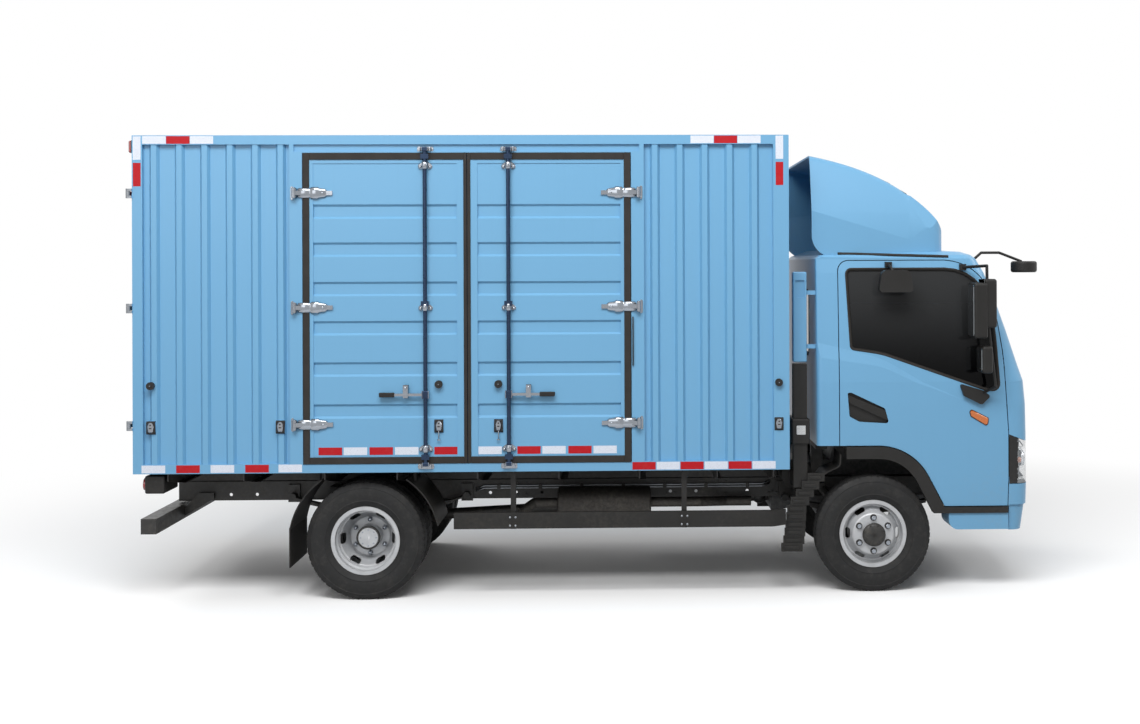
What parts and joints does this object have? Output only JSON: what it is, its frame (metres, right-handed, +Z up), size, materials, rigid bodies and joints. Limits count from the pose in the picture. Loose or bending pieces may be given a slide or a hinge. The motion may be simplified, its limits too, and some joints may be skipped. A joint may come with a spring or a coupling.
{
  "type": "cab-over box truck",
  "caption": "Light cab-over box truck with ridged load box, two side doors, two rear doors, twin rear wheels and a tilting cab with roof deflector.",
  "frame": {"origin": "on the ground, under the middle of the overall length and width", "axes": "+X to the front, +Y to the left side, +Z up"},
  "size_m": [6.023, 2.38, 3.04],
  "materials": {
    "body_paint": "pale blue gloss paint",
    "black_steel": "black chassis paint",
    "black_plastic": "grained black",
    "floor_board": "coated plywood",
    "tank_alloy": "brushed",
    "exhaust_steel": "heat stained",
    "engine_iron": "cast",
    "lamp_red": "red lens",
    "lamp_clear": "clear lens",
    "pane": "tinted",
    "seat_cloth": "woven cloth",
    "rim_silver": "silver paint",
    "tyre_rubber": "road tyre"
  },
  "bodies": {
    "chassis": {"frame_rails": "black_steel", "frame_crossmembers": "black_steel", "box_bearers": "black_steel", "box_floor": "floor_board", "box_left_wall": "body_paint", "box_right_wall": "body_paint", "box_front_wall": "body_paint", "box_roof": "body_paint", "box_rear_frame": "body_paint", "side_guards": "body_paint", "rear_underrun": "black_steel", "rear_mudguards": "black_plastic", "front_mudguards": "black_plastic", "fuel_tank": "tank_alloy", "battery_box": "black_plastic", "exhaust": "exhaust_steel", "air_cleaner": "black_plastic", "engine_block": "engine_iron", "drive_shaft": "black_steel", "rear_axle": "black_steel", "front_axle": "black_steel", "leaf_springs": "black_steel", "shock_absorbers": "black_steel", "tail_lamps": "lamp_red"},
    "cab": {"cab_shell": "body_paint", "cab_glass": "pane", "cab_front_panel": "body_paint", "grille": "black_plastic", "headlamps": "lamp_clear", "front_bumper": "body_paint", "cab_steps": "body_paint", "arch_flares": "black_plastic", "wind_deflector": "body_paint", "seats": "seat_cloth", "dashboard": "black_plastic", "intake_snorkel": "body_paint", "front_view_mirror": "black_plastic"},
    "cab_door_right": {"cab_door_right": "body_paint", "cab_door_glass_right": "pane", "door_mirrors_right": "black_plastic"},
    "cab_door_left": {"cab_door_left": "body_paint", "cab_door_glass_left": "pane", "door_mirror_left": "black_plastic"},
    "side_door_rear": {"side_door_rear": "body_paint"},
    "side_door_front": {"side_door_front": "body_paint"},
    "rear_door_right": {"rear_door_right": "body_paint"},
    "rear_door_left": {"rear_door_left": "body_paint"},
    "front_knuckle_right": {"front_knuckle_right": "black_steel"},
    "front_knuckle_left": {"front_knuckle_left": "black_steel"},
    "front_wheel_right": {"front_wheel_right": "rim_silver", "front_tyre_right": "tyre_rubber"},
    "front_wheel_left": {"front_wheel_left": "rim_silver", "front_tyre_left": "tyre_rubber"},
    "rear_wheel_right": {"rear_wheel_right": "rim_silver", "rear_tyres_right": "tyre_rubber"},
    "rear_wheel_left": {"rear_wheel_left": "rim_silver", "rear_tyres_left": "tyre_rubber"}
  },
  "joints": [
    {"name": "cab_tilt", "type": "hinge", "parent": "chassis", "child": "cab", "pos_m": [2.7285, 0, 0.64], "axis": [0, 1, 0], "range_deg": [0, 45]},
    {"name": "cab_door_right_swing", "type": "hinge", "parent": "cab", "child": "cab_door_right", "pos_m": [2.7725, -0.958, 1.2], "axis": [0, 0, -1], "range_deg": [-68, 0]},
    {"name": "cab_door_left_swing", "type": "hinge", "parent": "cab", "child": "cab_door_left", "pos_m": [2.7725, 0.958, 1.2], "axis": [0, 0, 1], "range_deg": [-68, 0]},
    {"name": "side_door_rear_swing", "type": "hinge", "parent": "chassis", "child": "side_door_rear", "pos_m": [-1.9255, -1.13, 1.92], "axis": [0, 0, 1], "range_deg": [-178, 0]},
    {"name": "side_door_front_swing", "type": "hinge", "parent": "chassis", "child": "side_door_front", "pos_m": [0.3055, -1.13, 1.92], "axis": [0, 0, -1], "range_deg": [-178, 0]},
    {"name": "rear_door_right_swing", "type": "hinge", "parent": "chassis", "child": "rear_door_right", "pos_m": [-2.9955, -1.104, 1.92], "axis": [0, 0, 1], "range_deg": [0, 250]},
    {"name": "rear_door_left_swing", "type": "hinge", "parent": "chassis", "child": "rear_door_left", "pos_m": [-2.9955, 1.104, 1.92], "axis": [0, 0, -1], "range_deg": [0, 250]},
    {"name": "steering_right", "type": "hinge", "parent": "chassis", "child": "front_knuckle_right", "pos_m": [1.8685, -0.7, 0.387], "axis": [0, 0, 1], "range_deg": [-30, 30]},
    {"name": "steering_left", "type": "hinge", "parent": "chassis", "child": "front_knuckle_left", "pos_m": [1.8685, 0.7, 0.387], "axis": [0, 0, 1], "range_deg": [-30, 30]},
    {"name": "front_wheel_right_spin", "type": "hinge", "parent": "front_knuckle_right", "child": "front_wheel_right", "pos_m": [1.8685, -0.835, 0.387], "axis": [0, 1, 0], "continuous": true},
    {"name": "front_wheel_left_spin", "type": "hinge", "parent": "front_knuckle_left", "child": "front_wheel_left", "pos_m": [1.8685, 0.835, 0.387], "axis": [0, 1, 0], "continuous": true},
    {"name": "rear_wheel_right_spin", "type": "hinge", "parent": "chassis", "child": "rear_wheel_right", "pos_m": [-1.4915, -0.8025, 0.387], "axis": [0, 1, 0], "continuous": true},
    {"name": "rear_wheel_left_spin", "type": "hinge", "parent": "chassis", "child": "rear_wheel_left", "pos_m": [-1.4915, 0.8025, 0.387], "axis": [0, 1, 0], "continuous": true}
  ],
  "couplings": [
    {"joint": "steering_left", "follows": "steering_right", "ratio": 1}
  ]
}
